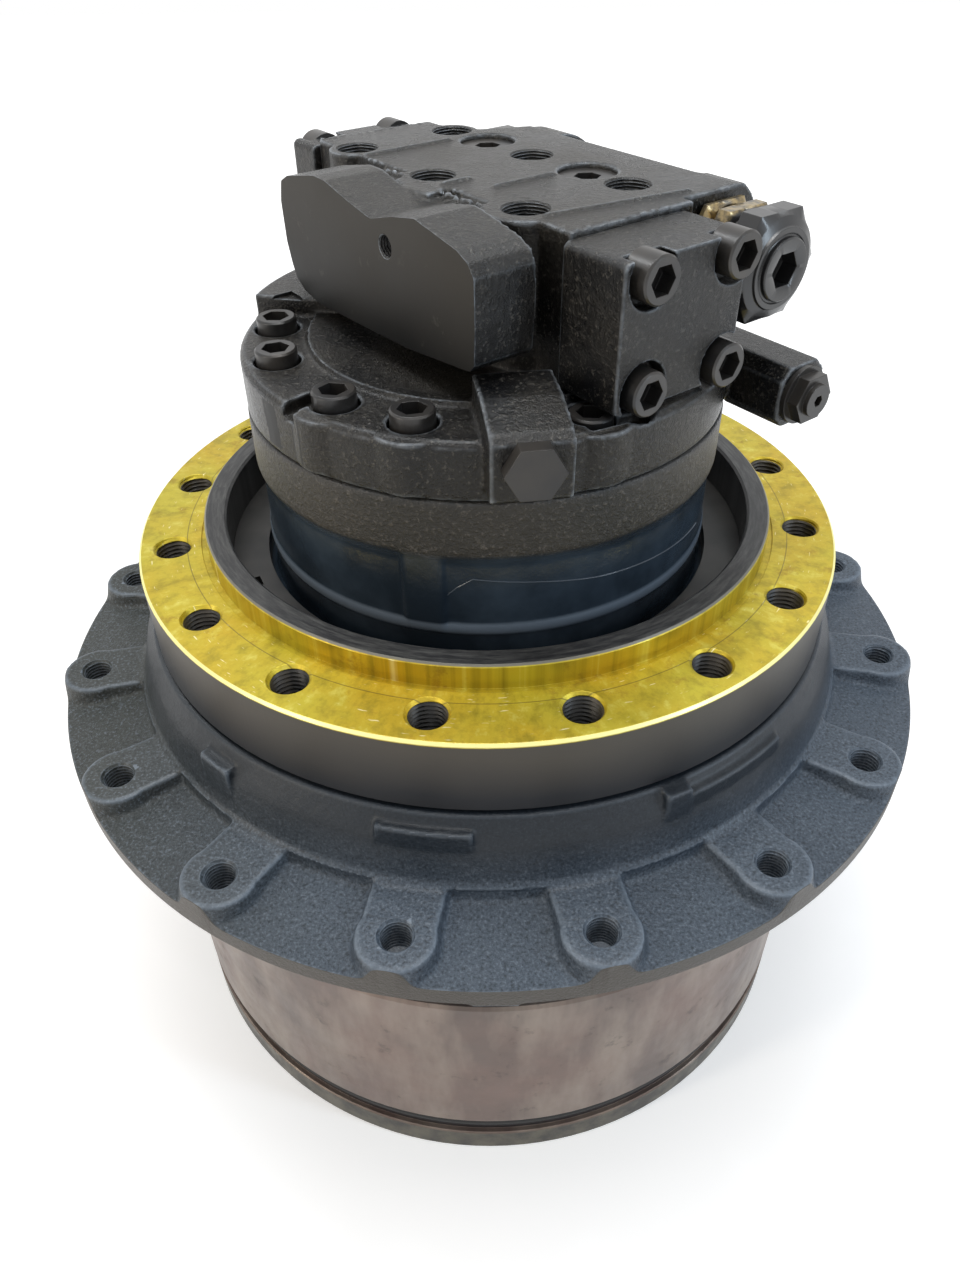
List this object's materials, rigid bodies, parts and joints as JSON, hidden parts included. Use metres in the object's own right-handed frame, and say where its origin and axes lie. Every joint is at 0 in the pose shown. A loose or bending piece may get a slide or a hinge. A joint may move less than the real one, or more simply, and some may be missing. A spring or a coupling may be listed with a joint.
{
  "type": "final drive",
  "caption": "Crawler final drive: hydraulic motor with valve body on top, frame flange with tapped holes, planetary gearbox inside a turning sprocket hub.",
  "frame": {"origin": "centre of the frame-mounting face on the axis of rotation", "axes": "+Z along the axis of rotation towards the hydraulic motor; the front spool cap points to 53 degrees clockwise of +X seen from above"},
  "size_m": [0.603, 0.603, 0.6106],
  "materials": {
    "gold_flange": "yellow zinc chromate on machined cast iron",
    "black_casting": "black paint over rough casting",
    "dark_casting": "sand-cast, dark phosphate",
    "drum_steel": "turned, brown satin",
    "black_screw": "black oxide",
    "valve_body_steel": "yellow zinc under black paint",
    "plug_steel": "black paint",
    "lock_ring_steel": "blackened",
    "bearing_steel": "ground",
    "gear_steel": "hobbed and hardened",
    "carrier_iron": "machined",
    "motor_steel": "ground",
    "bronze": "sintered bronze",
    "friction_lining": "sintered friction lining",
    "spring_steel": "blued",
    "seal_rubber": "matte"
  },
  "bodies": {
    "housing": {"frame_housing": "gold_flange", "lock_ring": "lock_ring_steel", "motor_casing": "black_casting", "rear_casing": "black_casting", "casing_bolts": "black_screw", "front_spool_cap": "black_casting", "rear_spool_cap": "black_casting", "cap_bolts": "black_screw", "front_relief_valve": "valve_body_steel", "rear_relief_valve": "valve_body_steel", "two_speed_plug": "plug_steel", "side_plug": "plug_steel", "gallery_plugs": "plug_steel", "valve_plate": "bronze", "swash_plate": "motor_steel", "shaft_bearings": "bearing_steel", "shaft_seal": "seal_rubber", "brake_plates": "motor_steel", "brake_springs": "spring_steel", "inner_races": "bearing_steel", "main_bearing_rollers": "bearing_steel", "bearing_nut": "lock_ring_steel", "fixed_carrier": "carrier_iron", "fixed_carrier_pins": "bearing_steel", "fixed_carrier_rollers": "bearing_steel", "fixed_carrier_bolts": "black_screw", "fixed_seal_ring": "bearing_steel", "fixed_seal_o_ring": "seal_rubber", "spool_springs": "spring_steel"},
    "hub": {"hub": "dark_casting", "ring_gear": "drum_steel", "end_cover": "drum_steel", "cover_bolts": "black_screw", "cover_plugs": "black_screw", "thrust_pad": "bronze", "outer_races": "bearing_steel", "turning_seal_ring": "bearing_steel", "turning_seal_o_ring": "seal_rubber", "cover_o_ring": "seal_rubber"},
    "turning_carrier": {"turning_carrier": "carrier_iron", "turning_carrier_pins": "bearing_steel", "turning_carrier_rollers": "bearing_steel", "pin_retainers": "black_screw", "second_sun_gear": "gear_steel"},
    "rotor": {"motor_shaft": "motor_steel", "coupling_sleeve": "carrier_iron", "first_sun_gear": "gear_steel", "cylinder_block": "motor_steel", "pistons": "motor_steel", "retainer_plate": "motor_steel", "friction_plates": "friction_lining"},
    "first_planet_1": {"first_planet_1": "gear_steel"},
    "first_planet_2": {"first_planet_2": "gear_steel"},
    "first_planet_3": {"first_planet_3": "gear_steel"},
    "second_planet_1": {"second_planet_1": "gear_steel"},
    "second_planet_2": {"second_planet_2": "gear_steel"},
    "second_planet_3": {"second_planet_3": "gear_steel"},
    "second_planet_4": {"second_planet_4": "gear_steel"},
    "brake_piston": {"brake_piston": "motor_steel"},
    "spool": {"counterbalance_spool": "motor_steel"}
  },
  "joints": [
    {"name": "hub_spin", "type": "hinge", "parent": "housing", "child": "hub", "pos_m": [0, 0, -0.15], "axis": [0, 0, 1], "continuous": true},
    {"name": "carrier_spin", "type": "hinge", "parent": "housing", "child": "turning_carrier", "pos_m": [0, 0, -0.315], "axis": [0, 0, 1], "continuous": true},
    {"name": "rotor_spin", "type": "hinge", "parent": "housing", "child": "rotor", "pos_m": [0, 0, 0], "axis": [0, 0, 1], "continuous": true},
    {"name": "first_planet_1_spin", "type": "hinge", "parent": "turning_carrier", "child": "first_planet_1", "pos_m": [0.117, 0, -0.341], "axis": [0, 0, 1], "continuous": true},
    {"name": "first_planet_2_spin", "type": "hinge", "parent": "turning_carrier", "child": "first_planet_2", "pos_m": [-0.0585, 0.10132, -0.341], "axis": [0, 0, 1], "continuous": true},
    {"name": "first_planet_3_spin", "type": "hinge", "parent": "turning_carrier", "child": "first_planet_3", "pos_m": [-0.0585, -0.10132, -0.341], "axis": [0, 0, 1], "continuous": true},
    {"name": "second_planet_1_spin", "type": "hinge", "parent": "housing", "child": "second_planet_1", "pos_m": [0.126, 0, -0.27], "axis": [0, 0, 1], "continuous": true},
    {"name": "second_planet_2_spin", "type": "hinge", "parent": "housing", "child": "second_planet_2", "pos_m": [0, 0.126, -0.27], "axis": [0, 0, 1], "continuous": true},
    {"name": "second_planet_3_spin", "type": "hinge", "parent": "housing", "child": "second_planet_3", "pos_m": [-0.126, 0, -0.27], "axis": [0, 0, 1], "continuous": true},
    {"name": "second_planet_4_spin", "type": "hinge", "parent": "housing", "child": "second_planet_4", "pos_m": [0, -0.126, -0.27], "axis": [0, 0, 1], "continuous": true},
    {"name": "brake_release", "type": "slide", "parent": "housing", "child": "brake_piston", "axis": [0, 0, 1], "range_m": [0, 0.0025], "stiffness_N_per_m": 50000, "deforming": ["brake_springs"]},
    {"name": "spool_travel", "type": "slide", "parent": "housing", "child": "spool", "axis": [0.6018, -0.7986, 0], "range_m": [-0.006, 0.006], "stiffness_N_per_m": 20000, "deforming": ["spool_springs"]}
  ],
  "couplings": [
    {"joint": "carrier_spin", "follows": "hub_spin", "ratio": -3.6667},
    {"joint": "rotor_spin", "follows": "hub_spin", "ratio": -29.333},
    {"joint": "first_planet_1_spin", "follows": "hub_spin", "ratio": 11.407},
    {"joint": "first_planet_2_spin", "follows": "hub_spin", "ratio": 11.407},
    {"joint": "first_planet_3_spin", "follows": "hub_spin", "ratio": 11.407},
    {"joint": "second_planet_1_spin", "follows": "hub_spin", "ratio": 2.75},
    {"joint": "second_planet_2_spin", "follows": "hub_spin", "ratio": 2.75},
    {"joint": "second_planet_3_spin", "follows": "hub_spin", "ratio": 2.75},
    {"joint": "second_planet_4_spin", "follows": "hub_spin", "ratio": 2.75}
  ]
}
